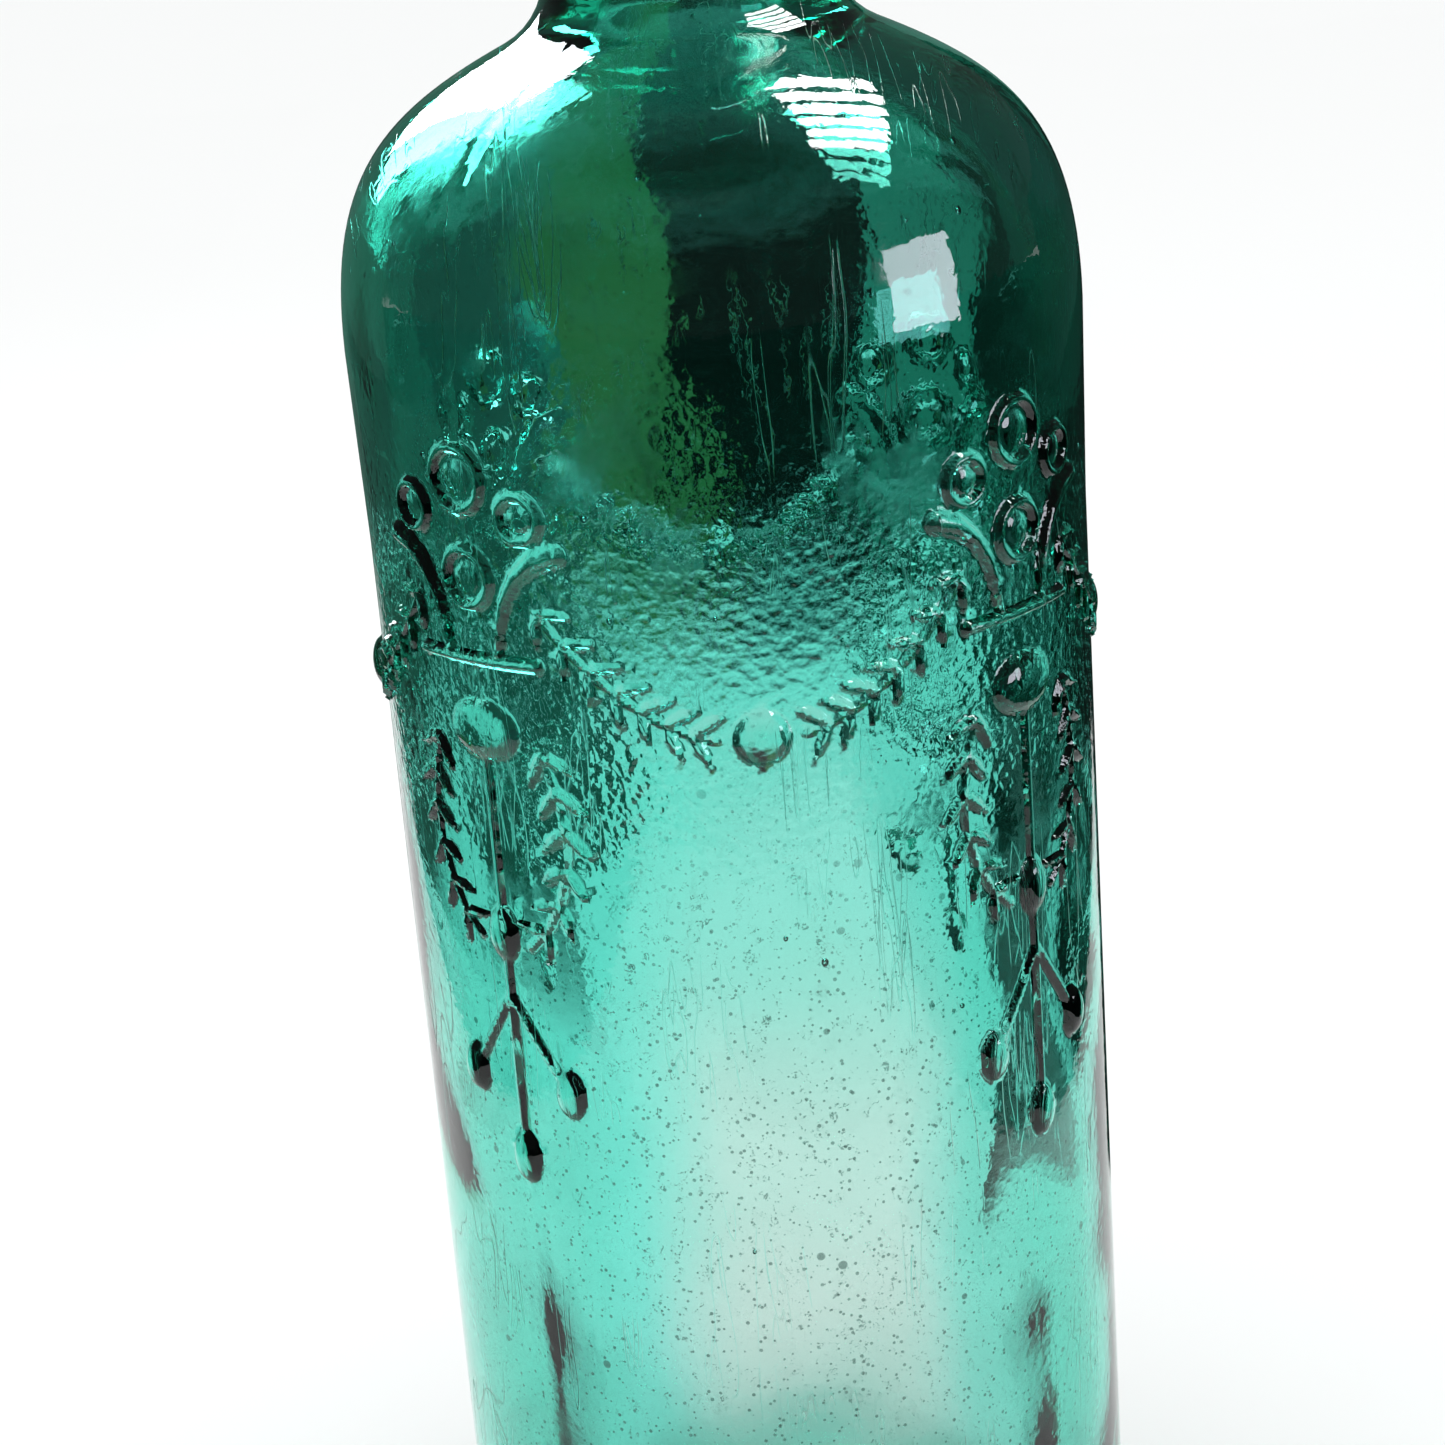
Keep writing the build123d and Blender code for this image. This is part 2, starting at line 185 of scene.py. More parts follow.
# ---------------------------------------------------------------------------------------
# Relief. Every motif is symmetric, so heights are worked out in one eighth of the belt:
# a runs from the festoon's axis (0) to the basket's axis (MOTIF_SPACING), z from the beads.
# ---------------------------------------------------------------------------------------
def round_profile(distance, half_width, raise_):
    """Height of a rounded ridge or bead across its half width."""
    share = np.clip(distance / half_width, 0.0, 1.0)
    return raise_ * np.sqrt(1.0 - share ** 2)


def oval(a, z, centre, half_across, half_up, raise_):
    """An oval bead."""
    distance = np.hypot((a - centre[0]) / half_across, (z - centre[1]) / half_up)
    return round_profile(distance, 1.0, raise_)


def rod(a, z, start, end, half_start, half_end, raise_):
    """A straight ridge whose half width and height change from start to end."""
    run = (end[0] - start[0], end[1] - start[1])
    length_squared = run[0] ** 2 + run[1] ** 2
    share = np.clip(((a - start[0]) * run[0] + (z - start[1]) * run[1]) / length_squared, 0.0, 1.0)
    distance = np.hypot(a - start[0] - share * run[0], z - start[1] - share * run[1])
    half = half_start + share * (half_end - half_start)
    return round_profile(distance / half, 1.0, raise_)


def leaf(a, z, foot, heading, length, half_width, raise_):
    """A laurel leaf: pointed at both ends, widest beyond its middle."""
    along = ((a - foot[0]) * math.cos(heading) + (z - foot[1]) * math.sin(heading)) / length
    across = -(a - foot[0]) * math.sin(heading) + (z - foot[1]) * math.cos(heading)
    inside = np.clip(along, 0.0, 1.0)
    width = half_width * np.sin(math.pi * inside ** 0.85) + 1e-6
    on_leaf = (along > 0.0) & (along < 1.0)
    return np.where(on_leaf, round_profile(np.abs(across) / width, 1.0, raise_), 0.0)


FESTOON_REACH = 21.6 * MM
FESTOON_SAG = 13.1 * MM
FESTOON_LOW_POINT = -1.5 * MM
FESTOON_FIRST_LEAF = 4.2 * MM
FESTOON_PAIRS = 7
LEAF_LENGTH = 3.9 * MM
LEAF_HALF_WIDTH = 0.52 * MM
LEAF_RAISE = 0.65 * MM
LEAF_SPREAD = math.radians(46.0)
STEM_HALF_WIDTH = 0.3 * MM
STEM_RAISE = 0.45 * MM
WREATH_HALF_WIDTH = 9.2 * MM
WREATH_HALF_HEIGHT = 13.3 * MM
WREATH_CENTRE = -11.5 * MM
WREATH_START = math.radians(40.0)
WREATH_END = math.radians(-68.0)
WREATH_PAIRS = 6
RINGS = {"top": (0.0, 24.3, 3.7), "side": (7.2, 20.8, 2.8), "low": (0.0, 14.4, 3.4)}
RING_CORD = 1.1 * MM
RING_RAISE = 0.75 * MM


def leafy_stem(a, z, stations):
    """A thin stem with a pair of leaves at every station, pointing along it."""
    height = np.zeros_like(a)
    for start, end in zip(stations, stations[1:]):
        heading = math.atan2(end[1] - start[1], end[0] - start[0])
        height = np.maximum(height, rod(a, z, start, end, STEM_HALF_WIDTH, STEM_HALF_WIDTH, STEM_RAISE))
        for side in (1.0, -1.0):
            one = leaf(a, z, start, heading + side * LEAF_SPREAD, LEAF_LENGTH, LEAF_HALF_WIDTH, LEAF_RAISE)
            height = np.maximum(height, one)
    return height


def festoon_height(a, z):
    """Half a swag of laurel, and the round bead at its lowest point."""
    stations = []
    step = (FESTOON_REACH - FESTOON_FIRST_LEAF) / FESTOON_PAIRS
    for index in range(FESTOON_PAIRS + 1):
        across = FESTOON_REACH - index * step
        stations.append((across, FESTOON_LOW_POINT + FESTOON_SAG * (across / FESTOON_REACH) ** 2))
    bead = oval(a, z, (0.0, -1.0 * MM), 2.75 * MM, 2.75 * MM, 1.35 * MM)
    return np.maximum(leafy_stem(a, z, stations), bead)


def wreath_height(b, z):
    """One branch of the oval wreath."""
    stations = []
    step = (WREATH_END - WREATH_START) / WREATH_PAIRS
    for index in range(WREATH_PAIRS + 1):
        angle = WREATH_START + index * step
        stations.append((WREATH_HALF_WIDTH * math.cos(angle), WREATH_CENTRE + WREATH_HALF_HEIGHT * math.sin(angle)))
    return leafy_stem(b, z, stations)


def tassel_height(b, z):
    """Button, string, middle bead and the strings with their drops."""
    split = (0.0, -29.6 * MM)
    side_drop = (6.8 * MM, -39.5 * MM)
    centre_drop = (0.0, -47.9 * MM)
    half = 0.48 * MM
    parts = [
        oval(b, z, (0.0, -1.2 * MM), 4.6 * MM, 3.1 * MM, 1.3 * MM),
        rod(b, z, (0.0, -1.2 * MM), split, half, half, 0.55 * MM),
        oval(b, z, (0.0, -22.9 * MM), 1.9 * MM, 3.0 * MM, 1.3 * MM),
        rod(b, z, split, side_drop, half * 0.8, half, 0.55 * MM),
        rod(b, z, split, centre_drop, half * 0.8, half, 0.55 * MM),
        oval(b, z, side_drop, 1.8 * MM, 2.7 * MM, 1.25 * MM),
        oval(b, z, centre_drop, 1.8 * MM, 3.0 * MM, 1.25 * MM),
    ]
    return np.maximum.reduce(parts)


def basket_height(b, z):
    """Base bar, one arm and the flowers."""
    bar_z = 6.2 * MM
    parts = [rod(b, z, (0.0, bar_z), (7.7 * MM, bar_z), 0.62 * MM, 0.62 * MM, 0.9 * MM)]
    horn = [(3.4, 7.0, 0.45), (3.8, 9.8, 0.55), (4.6, 12.4, 0.65), (6.2, 14.9, 0.8), (8.4, 16.7, 1.0), (10.8, 17.5, 1.15)]
    for low, high in zip(horn, horn[1:]):
        start = (low[0] * MM, low[1] * MM)
        end = (high[0] * MM, high[1] * MM)
        parts.append(rod(b, z, start, end, low[2] * MM, high[2] * MM, 0.9 * MM))
    for across, level, radius in RINGS.values():
        distance = np.hypot(b - across * MM, z - level * MM)
        mid = radius * MM - RING_CORD / 2.0
        parts.append(round_profile(np.abs(distance - mid), RING_CORD / 2.0, RING_RAISE))
        parts.append(round_profile(distance, radius * MM * 0.5, 0.35 * MM))
    return np.maximum.reduce(parts)


def belt_coordinates(points):
    """Signed arc length from the nearest festoon's axis and height from the bead level."""
    azimuth = np.arctan2(points[:, 1], points[:, 0]) - FRONT_AZIMUTH
    turned = (azimuth + QUARTER / 2.0) % QUARTER - QUARTER / 2.0
    return turned * BODY_RADIUS, points[:, 2] - BELT_Z


def relief_height(points):
    """Height of the relief over the plain wall at points of the wall."""
    signed, z = belt_coordinates(points)
    a = np.abs(signed)
    b = MOTIF_SPACING - a
    return np.maximum.reduce([festoon_height(a, z), basket_height(b, z), tassel_height(b, z), wreath_height(b, z)])


def seam_height(points):
    """Low ridge where the two halves of the mould met, through two opposite baskets."""
    azimuth = np.arctan2(points[:, 1], points[:, 0]) - FRONT_AZIMUTH + QUARTER / 2.0
    half_turn = math.pi
    turned = (azimuth + half_turn / 2.0) % half_turn - half_turn / 2.0
    distance = np.abs(turned) * np.hypot(points[:, 0], points[:, 1])
    return round_profile(distance, 0.45 * MM, SEAM_RAISE)


# ---------------------------------------------------------------------------------------
# Mesh helpers
# ---------------------------------------------------------------------------------------
def only(obj):
    """Leave obj as the one selected and active object."""
    bpy.ops.object.select_all(action="DESELECT")
    obj.select_set(True)
    bpy.context.view_layer.objects.active = obj


def spun(name, outline, steps):
    """A surface of revolution: the outline is spun once round the axis and its ends merged."""
    mesh = bpy.data.meshes.new(name)
    edges = [(index, index + 1) for index in range(len(outline) - 1)]
    mesh.from_pydata([(radius, 0.0, height) for radius, height in outline], edges, [])
    obj = bpy.data.objects.new(name, mesh)
    bpy.context.scene.collection.objects.link(obj)
    only(obj)
    bpy.ops.object.mode_set(mode="EDIT")
    bpy.ops.mesh.select_all(action="SELECT")
    bpy.ops.mesh.spin(steps=steps, angle=2.0 * math.pi, center=(0.0, 0.0, 0.0), axis=(0.0, 0.0, 1.0))
    bpy.ops.mesh.select_all(action="SELECT")
    bpy.ops.mesh.remove_doubles(threshold=0.002 * MM)
    bpy.ops.mesh.normals_make_consistent(inside=False)
    bpy.ops.object.mode_set(mode="OBJECT")
    return obj


def apply_modifier(obj, kind, **settings):
    """Add a modifier with its settings and apply it."""
    only(obj)
    modifier = obj.modifiers.new(kind.lower(), kind)
    for key, value in settings.items():
        setattr(modifier, key, value)
    bpy.ops.object.modifier_apply(modifier=modifier.name)


def vertex_places(obj):
    """All vertex places of a mesh as an array."""
    places = np.empty(len(obj.data.vertices) * 3)
    obj.data.vertices.foreach_get("co", places)
    return places.reshape(-1, 3)


def soft_step(share):
    """A share held between 0 and 1, with soft ends."""
    held = np.clip(share, 0.0, 1.0)
    return held * held * (3.0 - 2.0 * held)


def fill_group(obj, name, weights):
    """A vertex group with a weight for each vertex that has one above zero."""
    group = obj.vertex_groups.new(name=name)
    for index in np.nonzero(weights > 0.0)[0]:
        group.add([int(index)], float(weights[index]), "REPLACE")


def clouds(name, size):
    """A soft procedural texture for gentle waves in the glass."""
    texture = bpy.data.textures.new(name, "CLOUDS")
    texture.noise_scale = size
    texture.noise_depth = 1
    return texture


def refine_near_relief(obj):
    """Split the faces that carry relief in the belt, so that their edges come out crisp."""
    centres = np.empty(len(obj.data.polygons) * 3)
    obj.data.polygons.foreach_get("center", centres)
    centres = centres.reshape(-1, 3)
    outside = np.hypot(centres[:, 0], centres[:, 1]) > BODY_RADIUS - 1.0 * MM
    in_belt = outside & (centres[:, 2] > BELT_LOW) & (centres[:, 2] < BELT_HIGH)
    touched = np.zeros(len(centres), bool)
    reach = BELT_ROW * 0.62
    for across in (-reach, 0.0, reach):
        for up in (-reach, 0.0, reach):
            moved = centres.copy()
            radius = np.hypot(centres[:, 0], centres[:, 1]) + 1e-9
            moved[:, 0] -= across * centres[:, 1] / radius
            moved[:, 1] += across * centres[:, 0] / radius
            moved[:, 2] += up
            touched |= relief_height(moved) > 0.0
    only(obj)
    bpy.ops.object.mode_set(mode="EDIT")
    bpy.ops.mesh.select_mode(type="FACE")
    bpy.ops.mesh.select_all(action="DESELECT")
    bpy.ops.object.mode_set(mode="OBJECT")
    obj.data.polygons.foreach_set("select", touched & in_belt)
    bpy.ops.object.mode_set(mode="EDIT")
    bpy.ops.mesh.subdivide(number_cuts=2, quadcorner="INNERVERT")
    bpy.ops.object.mode_set(mode="OBJECT")


def raise_relief(obj):
    """Lift the belt's motifs and the mould seam out of the plain wall."""
    places = vertex_places(obj)
    in_belt = (places[:, 2] > BELT_LOW) & (places[:, 2] < BELT_HIGH)
    radius = np.hypot(places[:, 0], places[:, 1])
    in_belt &= radius > BODY_RADIUS - 1.0 * MM
    heights = np.where(in_belt, relief_height(places), 0.0)
    above_heel = (places[:, 2] > HEEL_RADIUS) & (places[:, 2] < NECK_TOP_Z - 12.0 * MM) & (radius > NECK_RADIUS - 0.1 * MM)
    heights = np.maximum(heights, np.where(above_heel, seam_height(places), 0.0))
    fill_group(obj, "relief", heights / RELIEF_TALLEST)
    apply_modifier(obj, "DISPLACE", strength=RELIEF_TALLEST, mid_level=0.0, vertex_group="relief")


def blown_bottle():
    """The blown glass: outside with its relief, inside a little wavy, closed at the mouth."""
    outside = spun("bottle_glass", outer_outline(), AROUND)
    refine_near_relief(outside)
    raise_relief(outside)
    inside = spun("bottle_inside", inner_outline(), AROUND_INSIDE)
    places = vertex_places(inside)
    azimuth = np.arctan2(places[:, 1], places[:, 0])
    below_neck = np.clip((NECK_TOP_Z - 40.0 * MM - places[:, 2]) / (20.0 * MM), 0.0, 1.0)
    face = soft_step((np.abs(np.sin(azimuth)) - 0.62) / 0.30)
    low = np.clip((96.0 * MM - places[:, 2]) / (34.0 * MM), 0.0, 1.0)
    high = np.clip((places[:, 2] - 8.0 * MM) / (20.0 * MM), 0.0, 1.0)
    fill_group(inside, "waves", below_neck)
    fill_group(inside, "thin", face * low * high)
    apply_modifier(inside, "DISPLACE", strength=1.1 * MM, mid_level=0.5, vertex_group="waves",
                   texture=clouds("inner_waves", 0.022), texture_coords="LOCAL")
    apply_modifier(inside, "DISPLACE", strength=THIN_BY, mid_level=0.0, vertex_group="thin")
    bpy.ops.object.mode_set(mode="EDIT")
    bpy.ops.mesh.select_all(action="SELECT")
    bpy.ops.mesh.flip_normals()
    bpy.ops.object.mode_set(mode="OBJECT")
    outside.select_set(True)
    bpy.context.view_layer.objects.active = outside
    bpy.ops.object.join()
    bpy.ops.object.mode_set(mode="EDIT")
    bpy.ops.mesh.select_mode(type="EDGE")
    bpy.ops.mesh.select_all(action="DESELECT")
    bpy.ops.mesh.select_non_manifold(extend=False, use_wire=False, use_boundary=True,
                                     use_multi_face=False, use_non_contiguous=False, use_verts=False)
    bpy.ops.mesh.bridge_edge_loops()
    bpy.ops.object.mode_set(mode="OBJECT")
    only(outside)
    bpy.ops.object.shade_smooth_by_angle(angle=math.radians(50.0))
    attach(outside, "bottle")
    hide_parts("bottle_body")
    return outside


def air_seeds():
    """Seeds: small bubbles of air scattered in the wall, drawn out a little upwards."""
    chance = random.Random(SEEDS_DRAW)
    outline = [point for point in outer_outline() if point[0] > NECK_RADIUS * 1.4 and point[1] > 2.0 * HEEL_RADIUS]
    made = []
    for index in range(SEEDS):
        step = chance.randrange(1, len(outline) - 1)
        below, here, above = outline[step - 1], outline[step], outline[step + 1]
        slope = math.atan2(above[1] - below[1], above[0] - below[0])
        size = chance.uniform(*SEED_SIZES)
        radius = here[0] - SEED_DEPTH * math.sin(slope)
        height = here[1] + SEED_DEPTH * math.cos(slope)
        azimuth = chance.uniform(0.0, 2.0 * math.pi)
        place = (radius * math.cos(azimuth), radius * math.sin(azimuth), height)
        bpy.ops.object.select_all(action="DESELECT")
        bpy.ops.mesh.primitive_ico_sphere_add(subdivisions=2, radius=size, location=place)
        bpy.ops.object.mode_set(mode="EDIT")
        bpy.ops.transform.resize(value=(1.0, 1.0, chance.uniform(1.0, 1.5)), center_override=place)
        bpy.ops.object.mode_set(mode="OBJECT")
        made.append(bpy.context.object)
    for seed in made:
        seed.select_set(True)
    bpy.ops.object.join()
    seeds = bpy.context.object
    seeds.name = "air_seeds"
    bpy.ops.object.transform_apply(location=True, rotation=True, scale=True)
    bpy.ops.object.shade_smooth()
    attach(seeds, "bottle")
    return seeds


# ---------------------------------------------------------------------------------------
# Materials
# ---------------------------------------------------------------------------------------
def new_material(name):
    """A material with its node tree and its Principled shader."""
    material = bpy.data.materials.new(name)
    material.use_nodes = True
    tree = material.node_tree
    return material, tree, tree.nodes["Principled BSDF"]


def put(tree, kind, inputs=None, **settings):
    """Add a node: settings are its own properties, inputs are values or sockets for its inputs."""
    made = tree.nodes.new(kind)
    for key, value in settings.items():
        setattr(made, key, value)
    for key, value in (inputs or {}).items():
        if isinstance(value, bpy.types.NodeSocket):
            tree.links.new(value, made.inputs[key])
        else:
            made.inputs[key].default_value = value
    return made


def sum_up(tree, operation, first, second, clamp=False):
    """A math node's output."""
    return put(tree, "ShaderNodeMath", {0: first, 1: second}, operation=operation, use_clamp=clamp).outputs[0]


def between(tree, value, low, high, to_low=0.0, to_high=1.0):
    """A value taken from one range to another with soft ends."""
    inputs = {"Value": value, "From Min": low, "From Max": high, "To Min": to_low, "To Max": to_high}
    return put(tree, "ShaderNodeMapRange", inputs, interpolation_type="SMOOTHSTEP").outputs["Result"]


def new_group(name, inputs, outputs):
    """A shader node group with named inputs (name, default) and outputs, and its end nodes."""
    group = bpy.data.node_groups.new(name, "ShaderNodeTree")
    for label, default in inputs:
        kind = "NodeSocketVector" if default is None else "NodeSocketFloat"
        socket = group.interface.new_socket(name=label, in_out="INPUT", socket_type=kind)
        if default is not None:
            socket.default_value = default
    for label in outputs:
        group.interface.new_socket(name=label, in_out="OUTPUT", socket_type="NodeSocketFloat")
    return group, group.nodes.new("NodeGroupInput"), group.nodes.new("NodeGroupOutput")


def orange_peel_group():
    """The skin that a cool iron mould leaves on glass: fine dimples over slow, soft waves."""
    group, given, result = new_group("orange_peel", [("Place", None), ("Dimples per metre", 900.0)], ["Height"])
    place = given.outputs["Place"]
    fine = put(group, "ShaderNodeTexNoise", {"Vector": place, "Scale": given.outputs["Dimples per metre"],
                                             "Detail": 1.5, "Roughness": 0.45})
    slow = put(group, "ShaderNodeTexNoise", {"Vector": place, "Scale": 130.0, "Detail": 1.0})
    dimples = between(group, fine.outputs["Fac"], 0.28, 0.72)
    waves = sum_up(group, "MULTIPLY", slow.outputs["Fac"], 1.5)
    group.links.new(sum_up(group, "ADD", dimples, waves), result.inputs["Height"])
    return group


def pepper_group():
    """Specks: tiny seeds and grains near the surface, most of them far smaller than the rest."""
    group, given, result = new_group("pepper", [("Place", None), ("Specks per metre", 800.0), ("Share", 0.5)], ["Mask"])
    cells = put(group, "ShaderNodeTexVoronoi", {"Vector": given.outputs["Place"],
                                                "Scale": given.outputs["Specks per metre"], "Randomness": 1.0})
    tint = put(group, "ShaderNodeSeparateColor", {"Color": cells.outputs["Color"]})
    chosen = sum_up(group, "LESS_THAN", tint.outputs["Red"], given.outputs["Share"])
    reach = between(group, tint.outputs["Green"], 0.0, 1.0, 0.10, 0.27)
    inner = sum_up(group, "SUBTRACT", reach, cells.outputs["Distance"])
    speck = between(group, inner, 0.0, 0.06)
    group.links.new(sum_up(group, "MULTIPLY", speck, chosen), result.inputs["Mask"])
    return group


def scratches_group():
    """Long fine scratches: narrow bands of stretched noise, broken up by a slower one."""
    group, given, result = new_group("scratches", [("Place", None), ("Amount", 0.5)], ["Mask"])
    total = None
    turns = ((0.3, 0.2, 0.5), (1.3, 0.4, 1.9), (0.8, 2.2, 0.9))
    for index, turn in enumerate(turns):
        turned = put(group, "ShaderNodeMapping", {"Vector": given.outputs["Place"], "Rotation": turn,
                                                  "Scale": (260.0, 22.0, 22.0),
                                                  "Location": (index * 7.3, index * 3.1, index * 5.7)})
        noise = put(group, "ShaderNodeTexNoise", {"Vector": turned.outputs["Vector"], "Scale": 1.0, "Detail": 2.0})
        off = sum_up(group, "ABSOLUTE", sum_up(group, "SUBTRACT", noise.outputs["Fac"], 0.62), 0.0)
        line = between(group, off, 0.0, 0.006, 1.0, 0.0)
        total = line if total is None else sum_up(group, "MAXIMUM", total, line)
    breaks = put(group, "ShaderNodeTexNoise", {"Vector": given.outputs["Place"], "Scale": 60.0, "Detail": 2.0})
    kept = between(group, breaks.outputs["Fac"], 0.5, 0.58)
    shown = sum_up(group, "MULTIPLY", total, kept)
    group.links.new(sum_up(group, "MULTIPLY", shown, given.outputs["Amount"]), result.inputs["Mask"])
    return group


def haze_group():
    """Worn, stained patches with ragged edges."""
    group, given, result = new_group("haze", [("Place", None), ("Patches per metre", 45.0), ("Cover", 0.5)], ["Mask"])
    broad = put(group, "ShaderNodeTexNoise", {"Vector": given.outputs["Place"],
                                              "Scale": given.outputs["Patches per metre"],
                                              "Detail": 8.0, "Roughness": 0.62})
    above = sum_up(group, "SUBTRACT", broad.outputs["Fac"], given.outputs["Cover"])
    group.links.new(between(group, above, 0.0, 0.08), result.inputs["Mask"])
    return group


def placed(tree, group, place, **values):
    """One use of a group in a material."""
    inputs = {"Place": place}
    inputs.update({key.replace("_", " "): value for key, value in values.items()})
    made = tree.nodes.new("ShaderNodeGroup")
    made.node_tree = group
    for key, value in inputs.items():
        if isinstance(value, bpy.types.NodeSocket):
            tree.links.new(value, made.inputs[key])
        else:
            made.inputs[key].default_value = value
    return made.outputs[0]


def within(tree, value, start, full_from, full_to, end):
    """A mask that is one between two values and falls softly to none outside them."""
    rise = between(tree, value, start, full_from)
    fall = between(tree, value, full_to, end, 1.0, 0.0)
    return sum_up(tree, "MULTIPLY", rise, fall)


def blown_glass(name, groups, depth_of_colour, dimple_depth, worn_by):
    """Teal glass: colour from its thickness, with dimples, specks, scratches and worn patches."""
    material, tree, shader = new_material(name)
    place = put(tree, "ShaderNodeTexCoord").outputs["Object"]
    axes = put(tree, "ShaderNodeSeparateXYZ", {"Vector": place})
    flow = put(tree, "ShaderNodeTexNoise", {"Vector": place, "Scale": 28.0, "Detail": 2.0}).outputs["Fac"]
    wander = sum_up(tree, "MULTIPLY", sum_up(tree, "SUBTRACT", flow, 0.5), 0.06)
    height = sum_up(tree, "ADD", axes.outputs["Z"], wander)
    across = sum_up(tree, "ABSOLUTE", sum_up(tree, "SUBTRACT", axes.outputs["X"], 5.0 * MM), 0.0)
    pale_across = between(tree, across, 9.0 * MM, 24.0 * MM, 1.0, 0.0)
    pale = sum_up(tree, "MULTIPLY", pale_across, within(tree, height, 0.0, 20.0 * MM, 78.0 * MM, 118.0 * MM))
    teal = put(tree, "ShaderNodeMix", {"Factor": between(tree, flow, 0.38, 0.62), 6: (0.50, 0.92, 0.87, 1.0),
                                       7: (0.62, 0.94, 0.91, 1.0)}, data_type="RGBA").outputs[2]
    colour = put(tree, "ShaderNodeMix", {"Factor": pale, 6: teal, 7: (1.0, 0.93, 0.92, 1.0)}, data_type="RGBA")
    specks = placed(tree, groups["pepper"], place, Specks_per_metre=1150.0, Share=0.7)
    grains = placed(tree, groups["pepper"], place, Specks_per_metre=480.0, Share=0.05)
    low = between(tree, axes.outputs["Z"], 95.0 * MM, 135.0 * MM, 1.0, 0.35)
    dark = sum_up(tree, "MULTIPLY", sum_up(tree, "MAXIMUM", specks, grains), low)
    speckled = put(tree, "ShaderNodeMix", {"Factor": sum_up(tree, "MULTIPLY", dark, 0.9), 6: colour.outputs[2],
                                           7: (0.02, 0.07, 0.06, 1.0)}, data_type="RGBA")
    tree.links.new(speckled.outputs[2], shader.inputs["Base Color"])
    lines = placed(tree, groups["scratches"], place, Amount=0.8)
    patches = placed(tree, groups["haze"], place, Patches_per_metre=75.0, Cover=0.56)
    worn = sum_up(tree, "MAXIMUM", sum_up(tree, "MULTIPLY", patches, worn_by), sum_up(tree, "MULTIPLY", lines, 0.4))
    tree.links.new(sum_up(tree, "ADD", worn, 0.02, clamp=True), shader.inputs["Roughness"])
    band = within(tree, axes.outputs["Z"], 112.0 * MM, 126.0 * MM, 142.0 * MM, 158.0 * MM)
    peel = placed(tree, groups["orange_peel"], place)
    skin = sum_up(tree, "MULTIPLY", peel, sum_up(tree, "ADD", sum_up(tree, "MULTIPLY", band, 0.86), 0.14))
    cuts = sum_up(tree, "MULTIPLY", lines, -0.5)
    bump = put(tree, "ShaderNodeBump", {"Height": sum_up(tree, "ADD", skin, cuts), "Distance": dimple_depth})
    tree.links.new(bump.outputs["Normal"], shader.inputs["Normal"])
    shader.inputs["Transmission Weight"].default_value = 1.0
    shader.inputs["IOR"].default_value = 1.5
    absorb = put(tree, "ShaderNodeVolumeAbsorption", {"Density": depth_of_colour, "Color": (0.10, 0.82, 0.71, 1.0)})
    tree.links.new(absorb.outputs["Volume"], tree.nodes["Material Output"].inputs["Volume"])
    return material


def trapped_air():
    """Inside of a seed: light leaves the glass and comes back into it."""
    material, tree, shader = new_material("trapped_air")
    place = put(tree, "ShaderNodeTexCoord").outputs["Object"]
    grain = put(tree, "ShaderNodeTexNoise", {"Vector": place, "Scale": 900.0}).outputs["Fac"]
    tree.links.new(between(tree, grain, 0.3, 0.7, 0.0, 0.04), shader.inputs["Roughness"])
    shader.inputs["Base Color"].default_value = (1.0, 1.0, 1.0, 1.0)
    shader.inputs["Transmission Weight"].default_value = 1.0
    shader.inputs["IOR"].default_value = 1.0 / 1.5
    return material


def cork_bark(groups):
    """Natural cork: mottled browns, long dark pores across the grain, and a dry crumbling face."""
    material, tree, shader = new_material("cork")
    place = put(tree, "ShaderNodeTexCoord").outputs["Object"]
    mottle = put(tree, "ShaderNodeTexNoise", {"Vector": place, "Scale": 420.0, "Detail": 6.0, "Roughness": 0.6})
    slow = put(tree, "ShaderNodeTexNoise", {"Vector": place, "Scale": 90.0, "Detail": 2.0})
    browns = put(tree, "ShaderNodeMix", {"Factor": between(tree, mottle.outputs["Fac"], 0.32, 0.68),
                                         6: (0.30, 0.155, 0.07, 1.0), 7: (0.56, 0.36, 0.20, 1.0)}, data_type="RGBA")
    stained = put(tree, "ShaderNodeMix", {"Factor": between(tree, slow.outputs["Fac"], 0.45, 0.75, 0.0, 0.45),
                                          6: browns.outputs[2], 7: (0.16, 0.08, 0.04, 1.0)}, data_type="RGBA")
    laid = put(tree, "ShaderNodeMapping", {"Vector": place, "Scale": (1.0, 0.35, 1.0)}).outputs["Vector"]
    pores = placed(tree, groups["pepper"], laid, Specks_per_metre=330.0, Share=0.5)
    coloured = put(tree, "ShaderNodeMix", {"Factor": pores, 6: stained.outputs[2], 7: (0.05, 0.022, 0.012, 1.0)},
                   data_type="RGBA")
    tree.links.new(coloured.outputs[2], shader.inputs["Base Color"])
    tree.links.new(between(tree, mottle.outputs["Fac"], 0.3, 0.7, 0.72, 0.95), shader.inputs["Roughness"])
    relief = sum_up(tree, "SUBTRACT", mottle.outputs["Fac"], pores)
    bump = put(tree, "ShaderNodeBump", {"Height": relief, "Distance": 0.25 * MM, "Strength": 0.8})
    tree.links.new(bump.outputs["Normal"], shader.inputs["Normal"])
    return material


